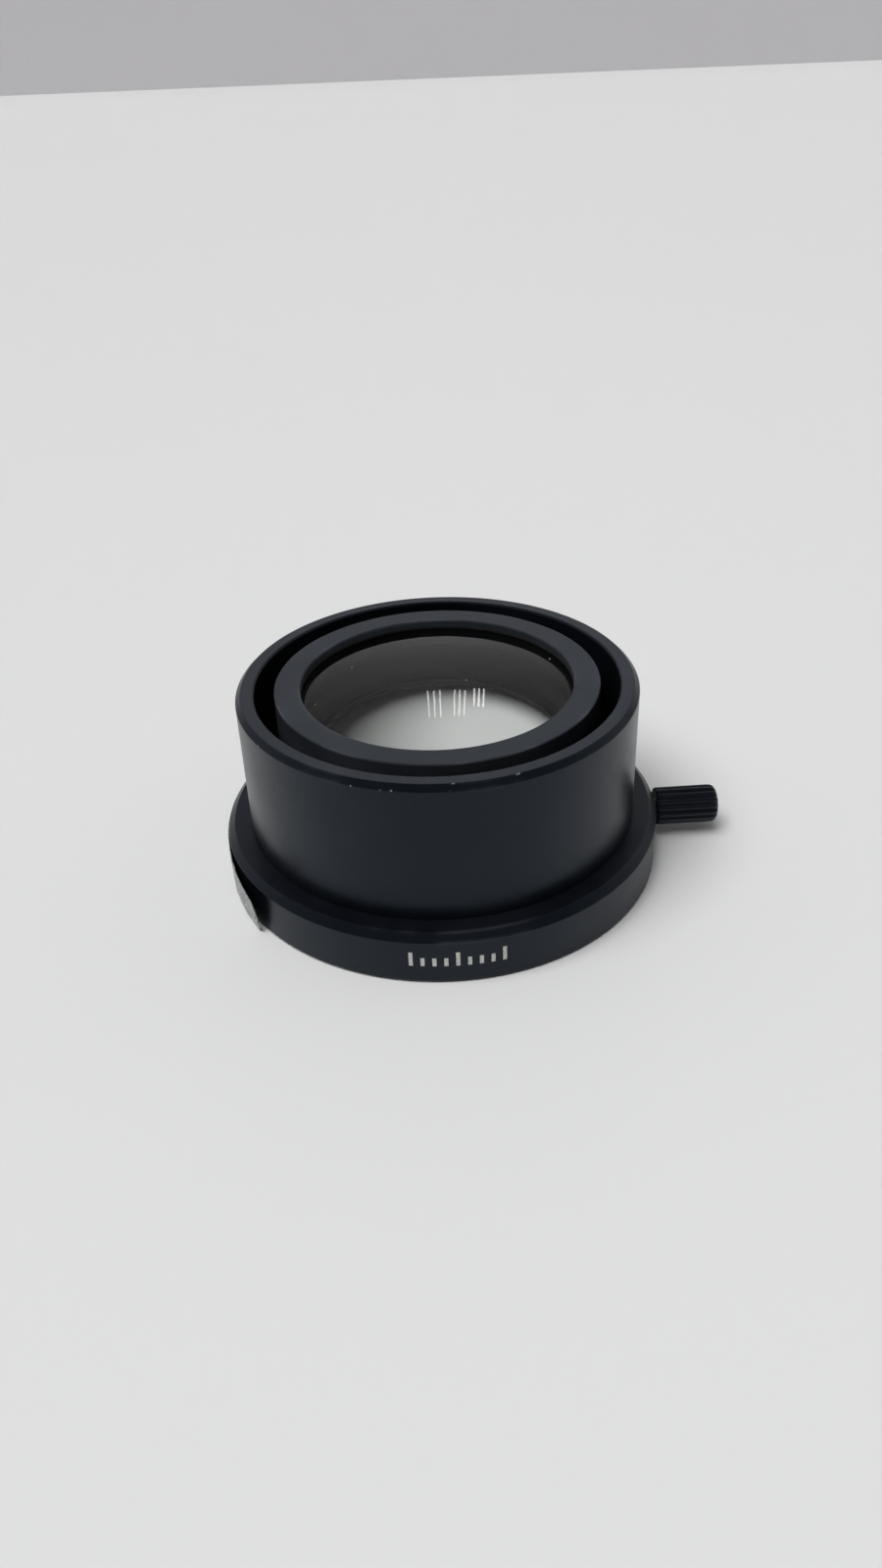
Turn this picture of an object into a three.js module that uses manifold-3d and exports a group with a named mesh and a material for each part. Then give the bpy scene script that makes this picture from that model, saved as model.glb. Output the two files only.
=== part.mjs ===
// Clamp-on darkroom enlarger lens: a flanged barrel with a cemented doublet and a side clamp screw.
// Millimetres, +Z up. The origin is the centre of the flange's open face, on the optical axis,
// and the clamp screw points along +X. The lens stands on its flange with the front glass on top.
import * as THREE from "three";
import { mergeVertices } from "three/addons/utils/BufferGeometryUtils.js";
import Module from "manifold-3d";

const wasm = await Module();
wasm.setup();

// ---- driving dimensions ----
const FLANGE_R = 36;
const FLANGE_H = 8.8;
const FLANGE_TOP_CHAMFER = 1.15;
const FLANGE_FOOT_CHAMFER = 0.5;
const SOCKET_R = 30;
const SOCKET_DEPTH = 7.2;
const SOCKET_MOUTH_CHAMFER = 0.4;
const PORT_R = 26.1;

const BARREL_R = 32;
const BARREL_BORE_R = 29;
const BARREL_TOP = 32.1;
const BARREL_CHAMFER = 0.85;
const BARREL_INNER_CHAMFER = 0.3;
const WEB_TOP = 12;
const WEB_BORE_R = 24.45;

const SHIM_T = 0.3;
const CELL_R = 25.9;
const CELL_TOP = 31.9;
const CELL_LIP_R = 21.7;
const CELL_LIP_Z = 30.7;
const CELL_LIP_FLARE = 0.2;
const CELL_BORE_R = 22.95;
const CELL_SPIGOT_R = 24.2;
const CELL_FOOT = 7.35;
const CELL_EDGE_CHAMFER = 0.3;
const LOCK_RING_R = 25.9;

const GLASS_R = 22.7;
const FRONT_APEX = 32;
const FRONT_CURVE = 140;
const JOINT_APEX = 30.1;
const JOINT_CURVE = 200;
const REAR_APEX = 28.3;
const REAR_CURVE = 32;
const REAR_CLEAR_R = 20.6;
const CEMENT_T = 0.05;

const GASKET_T = 0.33;
const RING_R = 22.8;
const RING_BORE_R = 20.8;
const SPACER_T = 2.1;
const RETAINER_T = 2.4;
const SPANNER_SLOT_W = 1.4;
const SPANNER_SLOT_DEPTH = 1;
const BAFFLE_Z = 9.4;
const BAFFLE_T = 1.4;
const BAFFLE_BORE_R = 21.6;

const SCREW_COUNT = 4;
const SCREW_CIRCLE_R = 28.05;
const SCREW_HEAD_R = 1.6;
const SCREW_SHANK_R = 1;
const SCREW_HEAD_H = 0.7;
const SCREW_TIP_Z = 11.2;
const SCREW_SLOT_W = 0.4;
const SCREW_SLOT_DEPTH = 0.35;
const SCREW_CLEARANCE = 0.12;

const CLAMP_Z = 4.8;
const STUD_R = 1.5;
const STUD_TIP_R = 0.9;
const STUD_TIP_X = 29.2;
const STUD_SHOULDER_X = 30.4;
const STUD_END_X = 44.95;
const THREAD_BORE_R = 1.6;
const BUSH_R = 2.5;
const BUSH_START_X = 32.6;
const BUSH_END_X = 35.9;
const PAD_R = 2.1;
const PAD_START_X = 28.7;
const PAD_END_X = 30.3;
const PAD_POCKET_R = 2.35;
const PAD_POCKET_END_X = 32.5;
const PAD_HOLE_R = 1.05;
const KNOB_R = 3.25;
const KNOB_START_X = 36.6;
const KNOB_END_X = 47.2;
const KNOB_BEVEL = 0.6;
const KNOB_ROUND = 1.2;
const KNOB_FLUTES = 16;
const KNOB_FLUTE_DEPTH = 0.28;
const KNOB_BORE_END_X = 45;

const LABEL_R = 36.1;
const LABEL_T = 0.14;
const LABEL_FROM = 170;
const LABEL_TO = 216;
const LABEL_STEP = 2;
const LABEL_LIFT_FROM = 188;
const LABEL_LIFT = 1.7;
const LABEL_Z = 0.2;
const LABEL_H = 6.7;

const FIT = 0.1; // radial gap between a bush or screw and its hole
const CUT_MARGIN = 1; // how far a cutter runs past the face that it opens
const BODY_SEGMENTS = 64;
const INNER_SEGMENTS = 48;
const CLAMP_SEGMENTS = 24;
const SCREW_SEGMENTS = 16;
const DOME_STEPS = 5;

// ---- finishes ----
const finish = (color, roughness, metalness) => ({ color, roughness, metalness });
const BLACK_ANODISED = finish(0x17191d, 0.45, 0.6);
const MATT_BLACK = finish(0x0b0c0d, 0.85, 0.1);
const STEEL = finish(0x8d9196, 0.35, 1);
const BRASS = finish(0xb08d4a, 0.35, 1);
const NYLON = finish(0xe6e2d6, 0.6, 0);
const RUBBER = finish(0x121212, 0.9, 0);
const GLASS = finish(0xd9dfdc, 0.03, 0);
const FOIL = finish(0xb9bcc0, 0.35, 0.8);

// ---- helpers ----
const point = (radius, height) => new THREE.Vector2(radius, height);

// A closed ring profile: counterclockwise with the radius to the right and the height up.
const ringProfile = (...points) => [...points, points[0]];

// Turns a profile about Z.
function turned(profile, segments) {
  return new THREE.LatheGeometry(profile, segments).rotateX(Math.PI / 2);
}

// Turns a profile about the clamp screw's axis, so that a profile's height is a distance along +X.
function turnedOnClampAxis(profile, segments) {
  const geometry = new THREE.LatheGeometry(profile, segments);
  return geometry.rotateZ(-Math.PI / 2).translate(0, 0, CLAMP_Z);
}

function plainRing(outerR, innerR, bottom, top) {
  return ringProfile(point(outerR, bottom), point(outerR, top), point(innerR, top), point(innerR, bottom));
}

function plainRod(radius, bottom, top) {
  return [point(0, bottom), point(radius, bottom), point(radius, top), point(0, top)];
}

// The height of a spherical face with its crown at apex, at a distance r from the axis.
function domeHeight(apex, curve, r) {
  return apex - (curve - Math.sqrt(curve * curve - r * r));
}

// Profile points along a spherical face, from one radius to another.
function domePoints(apex, curve, fromR, toR) {
  const points = [];
  for (let i = 0; i <= DOME_STEPS; i++) {
    const r = fromR + ((toR - fromR) * i) / DOME_STEPS;
    points.push(point(r, domeHeight(apex, curve, r)));
  }
  return points;
}

function solid(geometry) {
  const bare = geometry.index ? geometry.toNonIndexed() : geometry.clone();
  bare.deleteAttribute("normal");
  bare.deleteAttribute("uv");
  const merged = mergeVertices(bare, 1e-4);
  const mesh = new wasm.Mesh({
    numProp: 3,
    vertProperties: merged.attributes.position.array,
    triVerts: new Uint32Array(merged.index.array),
  });
  return new wasm.Manifold(mesh);
}

function geometryOf(body) {
  const mesh = body.getMesh();
  const geometry = new THREE.BufferGeometry();
  geometry.setAttribute("position", new THREE.BufferAttribute(mesh.vertProperties, 3));
  geometry.setIndex(new THREE.BufferAttribute(mesh.triVerts, 1));
  geometry.computeVertexNormals();
  return geometry;
}

function cut(geometry, cutters) {
  const body = cutters.reduce((left, cutter) => left.subtract(solid(cutter)), solid(geometry));
  return geometryOf(body);
}

function piece(name, geometry, look) {
  const mesh = new THREE.Mesh(geometry, new THREE.MeshStandardMaterial(look));
  mesh.name = name;
  return mesh;
}

// Where each flange screw stands: midway between the clamp axis and the Y axis.
function screwPlaces() {
  const places = [];
  for (let i = 0; i < SCREW_COUNT; i++) {
    const angle = ((i + 0.5) * 2 * Math.PI) / SCREW_COUNT;
    places.push([SCREW_CIRCLE_R * Math.cos(angle), SCREW_CIRCLE_R * Math.sin(angle)]);
  }
  return places;
}

// A countersunk screw or its hole: the head down at bottom, the shank up to top.
function countersunkProfile(bottom, top, grow) {
  const headR = SCREW_HEAD_R + grow;
  const shankR = SCREW_SHANK_R + grow;
  const headTop = SOCKET_DEPTH + SCREW_HEAD_H;
  return [
    point(0, bottom),
    point(headR, bottom),
    point(headR, SOCKET_DEPTH + FIT),
    point(shankR, headTop),
    point(shankR, top),
    point(0, top),
  ];
}

function screwHoles(top) {
  const bottom = SOCKET_DEPTH - CUT_MARGIN;
  return screwPlaces().map(([x, y]) =>
    turned(countersunkProfile(bottom, top, SCREW_CLEARANCE), SCREW_SEGMENTS).translate(x, y, 0),
  );
}

// ---- housing ----
function baseFlange() {
  const profile = ringProfile(
    point(FLANGE_R - FLANGE_FOOT_CHAMFER, 0),
    point(FLANGE_R, FLANGE_FOOT_CHAMFER),
    point(FLANGE_R, FLANGE_H - FLANGE_TOP_CHAMFER),
    point(FLANGE_R - FLANGE_TOP_CHAMFER, FLANGE_H),
    point(PORT_R, FLANGE_H),
    point(PORT_R, SOCKET_DEPTH),
    point(SOCKET_R, SOCKET_DEPTH),
    point(SOCKET_R, SOCKET_MOUTH_CHAMFER),
    point(SOCKET_R + SOCKET_MOUTH_CHAMFER, 0),
  );
  const pocketStart = SOCKET_R - CUT_MARGIN;
  const bushHoleEnd = FLANGE_R + CUT_MARGIN;
  const padPocket = turnedOnClampAxis(plainRod(PAD_POCKET_R, pocketStart, PAD_POCKET_END_X), CLAMP_SEGMENTS);
  const studHole = turnedOnClampAxis(plainRod(THREAD_BORE_R, pocketStart, bushHoleEnd), CLAMP_SEGMENTS);
  const bushHole = turnedOnClampAxis(plainRod(BUSH_R + FIT, BUSH_START_X, bushHoleEnd), CLAMP_SEGMENTS);
  const holes = screwHoles(FLANGE_H + CUT_MARGIN);
  return cut(turned(profile, BODY_SEGMENTS), [padPocket, studHole, bushHole, ...holes]);
}

function outerBarrel() {
  const profile = ringProfile(
    point(BARREL_R, FLANGE_H),
    point(BARREL_R, BARREL_TOP - BARREL_CHAMFER),
    point(BARREL_R - BARREL_CHAMFER, BARREL_TOP),
    point(BARREL_BORE_R + BARREL_INNER_CHAMFER, BARREL_TOP),
    point(BARREL_BORE_R, BARREL_TOP - BARREL_INNER_CHAMFER),
    point(BARREL_BORE_R, WEB_TOP),
    point(WEB_BORE_R, WEB_TOP),
    point(WEB_BORE_R, FLANGE_H),
  );
  return cut(turned(profile, BODY_SEGMENTS), screwHoles(SCREW_TIP_Z + SCREW_CLEARANCE));
}

// The cell drops onto the shim on the barrel's web, and its spigot goes down through the web.
function lensCell() {
  const shoulder = WEB_TOP + SHIM_T;
  const profile = ringProfile(
    point(CELL_SPIGOT_R, CELL_FOOT),
    point(CELL_SPIGOT_R, shoulder),
    point(CELL_R, shoulder),
    point(CELL_R, CELL_TOP - CELL_EDGE_CHAMFER),
    point(CELL_R - CELL_EDGE_CHAMFER, CELL_TOP),
    point(CELL_LIP_R + CELL_LIP_FLARE, CELL_TOP),
    point(CELL_LIP_R, CELL_TOP - CELL_LIP_FLARE),
    point(CELL_LIP_R, CELL_LIP_Z),
    point(CELL_BORE_R, CELL_LIP_Z),
    point(CELL_BORE_R, CELL_FOOT),
  );
  return turned(profile, INNER_SEGMENTS);
}

function flangeScrew(x, y) {
  const top = SCREW_TIP_Z;
  const screw = turned(countersunkProfile(SOCKET_DEPTH, top, 0), SCREW_SEGMENTS);
  const slotLength = 2 * (SCREW_HEAD_R + CUT_MARGIN);
  const slot = new THREE.BoxGeometry(slotLength, SCREW_SLOT_W, 2 * SCREW_SLOT_DEPTH);
  return cut(screw, [slot.translate(0, 0, SOCKET_DEPTH)]).translate(x, y, 0);
}

// ---- optics ----
function crownElement() {
  const jointApex = JOINT_APEX + CEMENT_T;
  const rim = domePoints(jointApex, JOINT_CURVE, 0, GLASS_R);
  const front = domePoints(FRONT_APEX, FRONT_CURVE, GLASS_R, 0);
  return turned([...rim, ...front], INNER_SEGMENTS);
}

function flintElement() {
  const rear = domePoints(REAR_APEX, REAR_CURVE, 0, REAR_CLEAR_R);
  const rimBottom = point(GLASS_R, domeHeight(REAR_APEX, REAR_CURVE, REAR_CLEAR_R));
  const front = domePoints(JOINT_APEX, JOINT_CURVE, GLASS_R, 0);
  return turned([...rear, rimBottom, ...front], INNER_SEGMENTS);
}

function frontGasket() {
  const ring = plainRing(RING_R, CELL_LIP_R, CELL_LIP_Z - GASKET_T, CELL_LIP_Z);
  return turned(ring, INNER_SEGMENTS);
}

function spacerRing(top) {
  return turned(plainRing(RING_R, RING_BORE_R, top - SPACER_T, top), INNER_SEGMENTS);
}

// Two slots across the underside take a spanner wrench.
function rearRetainingRing(top) {
  const bottom = top - RETAINER_T;
  const ring = turned(plainRing(RING_R, RING_BORE_R, bottom, top), INNER_SEGMENTS);
  const slot = new THREE.BoxGeometry(2 * (RING_R + CUT_MARGIN), SPANNER_SLOT_W, 2 * SPANNER_SLOT_DEPTH);
  return cut(ring, [slot.translate(0, 0, bottom)]);
}

function lightBaffle() {
  const profile = ringProfile(
    point(RING_R, BAFFLE_Z),
    point(RING_R, BAFFLE_Z + BAFFLE_T),
    point(BAFFLE_BORE_R, BAFFLE_Z + BAFFLE_T),
    point(BAFFLE_BORE_R + BAFFLE_T / 2, BAFFLE_Z),
  );
  return turned(profile, INNER_SEGMENTS);
}

function cellShim() {
  return turned(plainRing(CELL_R, WEB_BORE_R, WEB_TOP, WEB_TOP + SHIM_T), INNER_SEGMENTS);
}

// Screws up the cell's spigot from below and pulls the cell down onto the web.
function cellLockRing() {
  return turned(plainRing(LOCK_RING_R, CELL_SPIGOT_R + FIT, CELL_FOOT, FLANGE_H), INNER_SEGMENTS);
}

// ---- clamp ----
function clampBush() {
  return turnedOnClampAxis(plainRing(BUSH_R, THREAD_BORE_R, BUSH_START_X, BUSH_END_X), CLAMP_SEGMENTS);
}

function pressurePad() {
  const profile = [
    point(0, PAD_START_X),
    point(PAD_R, PAD_START_X),
    point(PAD_R, PAD_END_X),
    point(PAD_HOLE_R, PAD_END_X),
    point(PAD_HOLE_R, STUD_TIP_X - FIT),
    point(0, STUD_TIP_X - FIT),
  ];
  return turnedOnClampAxis(profile, CLAMP_SEGMENTS);
}

function clampStud() {
  const profile = [
    point(0, STUD_TIP_X),
    point(STUD_TIP_R, STUD_TIP_X),
    point(STUD_TIP_R, STUD_SHOULDER_X),
    point(STUD_R, STUD_SHOULDER_X),
    point(STUD_R, STUD_END_X),
    point(0, STUD_END_X),
  ];
  return turnedOnClampAxis(profile, CLAMP_SEGMENTS);
}

// A plain turned knob whose side is then drawn in between the flutes' ridges.
function clampKnob() {
  const round = KNOB_ROUND * (1 - Math.SQRT1_2);
  const profile = [
    point(0, KNOB_BORE_END_X),
    point(THREAD_BORE_R, KNOB_BORE_END_X),
    point(THREAD_BORE_R, KNOB_START_X),
    point(KNOB_R - KNOB_BEVEL, KNOB_START_X),
    point(KNOB_R, KNOB_START_X + KNOB_BEVEL),
    point(KNOB_R, KNOB_END_X - KNOB_ROUND),
    point(KNOB_R - round, KNOB_END_X - round),
    point(KNOB_R - KNOB_ROUND, KNOB_END_X),
    point(0, KNOB_END_X),
  ];
  const knob = new THREE.LatheGeometry(profile, KNOB_FLUTES * 4);
  const position = knob.attributes.position;
  for (let i = 0; i < position.count; i++) {
    const x = position.getX(i);
    const z = position.getZ(i);
    const radius = Math.hypot(x, z);
    if (radius < KNOB_R - KNOB_BEVEL / 2) continue;
    const draw = (KNOB_FLUTE_DEPTH * (1 - Math.cos(KNOB_FLUTES * Math.atan2(x, z)))) / 2;
    position.setX(i, (x * (radius - draw)) / radius);
    position.setZ(i, (z * (radius - draw)) / radius);
  }
  return knob.rotateZ(-Math.PI / 2).translate(0, 0, CLAMP_Z);
}

// ---- label ----
// A thin strip bent round the flange, with its last stretch peeling away from the metal.
function idLabel() {
  const inner = [];
  const outer = [];
  for (let degrees = LABEL_FROM; degrees <= LABEL_TO; degrees += LABEL_STEP) {
    const peel = Math.max(0, (degrees - LABEL_LIFT_FROM) / (LABEL_TO - LABEL_LIFT_FROM));
    const radius = LABEL_R + LABEL_LIFT * peel * peel;
    const angle = (degrees * Math.PI) / 180;
    inner.push(point(radius * Math.cos(angle), radius * Math.sin(angle)));
    outer.push(point((radius + LABEL_T) * Math.cos(angle), (radius + LABEL_T) * Math.sin(angle)));
  }
  const outline = new THREE.Shape([...outer, ...inner.reverse()]);
  const strip = new THREE.ExtrudeGeometry(outline, { depth: LABEL_H, bevelEnabled: false });
  return strip.translate(0, 0, LABEL_Z);
}

// ---- assembly ----
const spacerTop = domeHeight(REAR_APEX, REAR_CURVE, REAR_CLEAR_R);
const retainerTop = spacerTop - SPACER_T;

const housing = new THREE.Group();
housing.add(
  piece("base_flange", baseFlange(), BLACK_ANODISED),
  piece("outer_barrel", outerBarrel(), BLACK_ANODISED),
  piece("lens_cell", lensCell(), BLACK_ANODISED),
  piece("cell_shim", cellShim(), STEEL),
  piece("cell_lock_ring", cellLockRing(), MATT_BLACK),
  piece("id_label", idLabel(), FOIL),
);
screwPlaces().forEach(([x, y], i) => {
  housing.add(piece(`flange_screw_${i + 1}`, flangeScrew(x, y), STEEL));
});

const optics = new THREE.Group();
optics.add(
  piece("crown_element", crownElement(), GLASS),
  piece("flint_element", flintElement(), GLASS),
  piece("front_gasket", frontGasket(), RUBBER),
  piece("spacer_ring", spacerRing(spacerTop), MATT_BLACK),
  piece("rear_retaining_ring", rearRetainingRing(retainerTop), MATT_BLACK),
  piece("light_baffle", lightBaffle(), MATT_BLACK),
);

const clamp = new THREE.Group();
clamp.add(
  piece("clamp_bush", clampBush(), BRASS),
  piece("pressure_pad", pressurePad(), NYLON),
  piece("clamp_stud", clampStud(), STEEL),
  piece("clamp_knob", clampKnob(), BLACK_ANODISED),
);

const lens = new THREE.Group();
lens.add(housing, optics, clamp);

export default lens;
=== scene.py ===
"""Looks for the clamp-on enlarger lens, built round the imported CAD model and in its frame, +Z up.

Outlines and sizes are in millimetres and are turned into metres as each mesh is made. The stage,
the lamps and the camera are in metres. Noise scales are per metre unless a line says otherwise.
"""
import math

import bmesh
import bpy
from mathutils import Matrix, Vector


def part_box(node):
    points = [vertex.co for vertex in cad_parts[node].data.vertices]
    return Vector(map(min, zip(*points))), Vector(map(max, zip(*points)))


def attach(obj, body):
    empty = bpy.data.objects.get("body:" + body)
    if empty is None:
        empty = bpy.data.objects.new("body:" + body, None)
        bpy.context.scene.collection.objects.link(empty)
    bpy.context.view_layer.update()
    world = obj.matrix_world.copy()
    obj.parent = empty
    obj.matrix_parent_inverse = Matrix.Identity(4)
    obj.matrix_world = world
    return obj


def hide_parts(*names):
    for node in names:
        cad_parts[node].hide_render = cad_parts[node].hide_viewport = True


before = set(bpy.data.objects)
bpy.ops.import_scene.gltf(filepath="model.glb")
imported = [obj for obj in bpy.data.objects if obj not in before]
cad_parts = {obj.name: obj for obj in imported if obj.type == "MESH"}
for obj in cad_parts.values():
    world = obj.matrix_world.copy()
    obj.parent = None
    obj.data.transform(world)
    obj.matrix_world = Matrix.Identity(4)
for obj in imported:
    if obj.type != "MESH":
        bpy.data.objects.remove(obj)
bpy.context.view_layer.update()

MM = 0.001


def node_mm(node):
    """A CAD node's lowest and highest corners in millimetres."""
    low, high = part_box(node)
    return low / MM, high / MM


# ---- sizes taken from the frame ----
FLANGE_HIGH = node_mm("base_flange")[1]
BARREL_HIGH = node_mm("outer_barrel")[1]
CELL_LOW, CELL_HIGH = node_mm("lens_cell")
CROWN_HIGH = node_mm("crown_element")[1]
KNOB_LOW, KNOB_HIGH = node_mm("clamp_knob")
STUD_LOW, STUD_HIGH = node_mm("clamp_stud")
PAD_LOW, PAD_HIGH = node_mm("pressure_pad")
BUSH_LOW, BUSH_HIGH = node_mm("clamp_bush")
BAFFLE_LOW, BAFFLE_HIGH = node_mm("light_baffle")
SCREW_LOW, SCREW_HIGH = node_mm("flange_screw_1")
SHIM_HIGH = node_mm("cell_shim")[1]
LABEL_LOW, LABEL_HIGH = node_mm("id_label")

# The flange's side is drawn in, so that the index strokes on it stay inside the CAD box.
MARK_RISE = 0.01
FLANGE_R = FLANGE_HIGH.y
FLANGE_SIDE_R = FLANGE_R - MARK_RISE
FLANGE_H = FLANGE_HIGH.z
BARREL_R = BARREL_HIGH.y
BARREL_TOP = BARREL_HIGH.z
CELL_R = CELL_HIGH.y
CELL_TOP = CELL_HIGH.z
CELL_FOOT = CELL_LOW.z
CELL_SHOULDER = SHIM_HIGH.z
GLASS_R = CROWN_HIGH.y
GLASS_APEX = CROWN_HIGH.z
KNOB_R = (KNOB_HIGH.z - KNOB_LOW.z) / 2
CLAMP_Z = (KNOB_HIGH.z + KNOB_LOW.z) / 2
STUD_R = STUD_HIGH.y
PAD_R = PAD_HIGH.y
BUSH_R = BUSH_HIGH.y

# ---- sizes of the inner shapes, as in the CAD ----
FLANGE_CHAMFER = 1.15
FOOT_CHAMFER = 0.5
SOCKET_R = 30
SOCKET_DEPTH = 7.2
SOCKET_MOUTH = 0.4
PORT_R = 26.1
BARREL_BORE_R = 29
BARREL_CHAMFER = 0.85
BARREL_INNER_CHAMFER = 0.3
WEB_TOP = 12
WEB_BORE_R = 24.45
CELL_LIP_R = 21.7
CELL_LIP_Z = 30.7
CELL_LIP_FLARE = 0.2
CELL_BORE_R = 22.95
CELL_SPIGOT_R = 24.2
FRONT_CURVE = 140
REAR_APEX = 28.3
REAR_CURVE = 32
REAR_CLEAR_R = 20.6
RING_BORE_R = 20.8
BAFFLE_BORE_R = 21.6
SPANNER_SLOT_W = 1.4
SPANNER_SLOT_DEPTH = 1
SCREW_CIRCLE_R = 28.05
SCREW_HEAD_R = 1.6
SCREW_HEAD_H = 0.7
SCREW_SHANK_R = 1
SCREW_SLOT_W = 0.4
SCREW_SLOT_DEPTH = 0.35
STUD_TIP_R = 0.9
STUD_SHOULDER_X = 30.4
THREAD_BORE_R = 1.6
PAD_HOLE_R = 1.05
PAD_POCKET_R = 2.35
PAD_POCKET_END_X = 32.5
FIT = 0.1
LABEL_R = 36.1
LABEL_T = 0.14
LABEL_FROM = 170
LABEL_TO = 216
LABEL_LIFT_FROM = 188
LABEL_LIFT = 1.7

# How closely the curves are drawn, and how the meshes are cut and shaded. FACE_REACH is how far past
# a stated radius or height a face may lie and still be picked.
SEGMENTS = 256
CLAMP_SEGMENTS = 128
SCREW_SEGMENTS = 48
CORNER_STEPS = 4
LARGEST_BEVEL_SHARE = 0.45
CUT_MARGIN = 1
FACE_REACH = 0.1
NEARLY_ZERO = 1e-6
FLAT_FACE_WEIGHT = 80
SHARP_ANGLE = math.radians(38)
GLASS_SHARP_ANGLE = math.radians(8)


# ---- mesh helpers ----
def round_z(radius, angle, height):
    """A point in metres, from a radius and a height in millimetres and an angle about Z in radians."""
    return radius * math.cos(angle) * MM, radius * math.sin(angle) * MM, height * MM


def new_object(name, mesh_data, material, body):
    """A piece of the object, riding its body and with its material slot named."""
    piece = bpy.data.objects.new(name, mesh_data)
    bpy.context.scene.collection.objects.link(piece)
    piece.data.materials.append(material)
    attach(piece, body)
    return piece


def softened(corners):
    """A closed outline of (r, z, bevel) corners, each corner turned into a short curve."""
    points = []
    count = len(corners)
    for i, (r, z, bevel) in enumerate(corners):
        here = Vector((r, z))
        before = Vector(corners[i - 1][:2])
        after = Vector(corners[(i + 1) % count][:2])
        if bevel == 0:
            points.append(here)
            continue
        to_before, to_after = before - here, after - here
        start = here + to_before.normalized() * min(bevel, LARGEST_BEVEL_SHARE * to_before.length)
        end = here + to_after.normalized() * min(bevel, LARGEST_BEVEL_SHARE * to_after.length)
        for step in range(CORNER_STEPS + 1):
            s = step / CORNER_STEPS
            points.append(start * (1 - s) ** 2 + here * 2 * s * (1 - s) + end * s**2)
    return points


def softened_solid(corners):
    """An outline from axis to axis: its corners softened, with both axis points added."""
    first, last = corners[0][1], corners[-1][1]
    closed = [(0, first, 0), *corners, (0, last, 0)]
    return softened(closed)


def revolve(points, segments, ring=True, shape=None):
    """A bmesh turned about Z from an outline of (r, z) points in millimetres.

    A ring's outline closes on itself, and any other starts and ends on the axis.
    shape(radius, height, angle), where given, returns the radius that is used there.
    """
    mesh = bmesh.new()
    columns = []
    on_axis = {}
    for i in range(segments):
        angle = 2 * math.pi * i / segments
        column = []
        for index, (r, z) in enumerate(points):
            if r < NEARLY_ZERO:
                if index not in on_axis:
                    on_axis[index] = mesh.verts.new((0, 0, z * MM))
                column.append(on_axis[index])
                continue
            radius = shape(r, z, angle) if shape else r
            column.append(mesh.verts.new(round_z(radius, angle, z)))
        columns.append(column)
    steps = len(points) if ring else len(points) - 1
    for i in range(segments):
        here, there = columns[i], columns[(i + 1) % segments]
        for a in range(steps):
            b = (a + 1) % len(points)
            unique = list(dict.fromkeys([here[a], there[a], there[b], here[b]]))
            if len(unique) > 2:
                mesh.faces.new(unique)
    bmesh.ops.recalc_face_normals(mesh, faces=mesh.faces)
    return mesh


def plain_cutter(radius, low, high, segments):
    """A round bar along Z, used only to cut a hole."""
    outline = [Vector((0, low)), Vector((radius, low)), Vector((radius, high)), Vector((0, high))]
    return revolve(outline, segments, ring=False)


def box_cutter(size_x, size_y, size_z, centre_z):
    """A box on the Z axis, used only to cut a slot."""
    mesh = bmesh.new()
    bmesh.ops.create_cube(mesh, size=MM)
    lift = Matrix.Translation((0, 0, centre_z * MM))
    mesh.transform(lift @ Matrix.Diagonal((size_x, size_y, size_z, 1)))
    return mesh


def bare_object(mesh, name):
    """An object of the bmesh, in the scene but on no body and with no material."""
    data = bpy.data.meshes.new(name)
    mesh.to_mesh(data)
    mesh.free()
    holder = bpy.data.objects.new(name, data)
    bpy.context.scene.collection.objects.link(holder)
    return holder


def carved(mesh, cutters):
    """The bmesh with each cutter bmesh cut out of it."""
    body = bare_object(mesh, "carved_body")
    tools = [bare_object(cutter, "cutter") for cutter in cutters]
    for tool in tools:
        cut = body.modifiers.new("cut", "BOOLEAN")
        cut.operation = "DIFFERENCE"
        cut.solver = "EXACT"
        cut.object = tool
    bpy.context.view_layer.update()
    shaped = body.evaluated_get(bpy.context.evaluated_depsgraph_get())
    result = bmesh.new()
    result.from_mesh(shaped.to_mesh())
    shaped.to_mesh_clear()
    for holder in (body, *tools):
        data = holder.data
        bpy.data.objects.remove(holder)
        bpy.data.meshes.remove(data)
    return result


def finish_mesh(mesh, name, sharp_angle=SHARP_ANGLE):
    """Smooth shading, with real corners kept sharp."""
    for face in mesh.faces:
        face.smooth = True
    for edge in mesh.edges:
        edge.smooth = len(edge.link_faces) != 2 or edge.calc_face_angle(0) <= sharp_angle
    data = bpy.data.meshes.new(name)
    mesh.to_mesh(data)
    mesh.free()
    return data


def weigh_normals(piece):
    """Keeps a large flat face flat beside its small bevels."""
    weighted = piece.modifiers.new("flat_faces", "WEIGHTED_NORMAL")
    weighted.keep_sharp = True
    weighted.weight = FLAT_FACE_WEIGHT


def placed_piece(name, mesh, material, replaced, body):
    """Puts a finished bmesh in the scene, standing for the CAD nodes in replaced."""
    piece = new_object(name, finish_mesh(mesh, name), material, body)
    weigh_normals(piece)
    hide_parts(*replaced)
    return piece


def turned_piece(name, corners, material, replaced, cutters=()):
    """A ring of the housing, turned about the optical axis and then cut."""
    mesh = revolve(softened(corners), SEGMENTS)
    if cutters:
        mesh = carved(mesh, cutters)
    return placed_piece(name, mesh, material, replaced, "housing")


def recolour_faces(piece, material, radii, heights):
    """Gives the faces of a ring between two radii and two heights another material."""
    piece.data.materials.append(material)
    for face in piece.data.polygons:
        away = math.hypot(face.center.x, face.center.y) / MM
        if radii[0] < away < radii[1] and heights[0] < face.center.z / MM < heights[1]:
            face.material_index = 1


def plain_ring(node, inner_r, material, bevel, cutters=()):
    """A plain ring of its CAD node's size, with softened corners."""
    low, high = node_mm(node)
    corners = [
        (high.y, low.z, bevel),
        (high.y, high.z, bevel),
        (inner_r, high.z, bevel),
        (inner_r, low.z, bevel),
    ]
    return turned_piece(f"{node}_fine", corners, material, [node], cutters)


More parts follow.
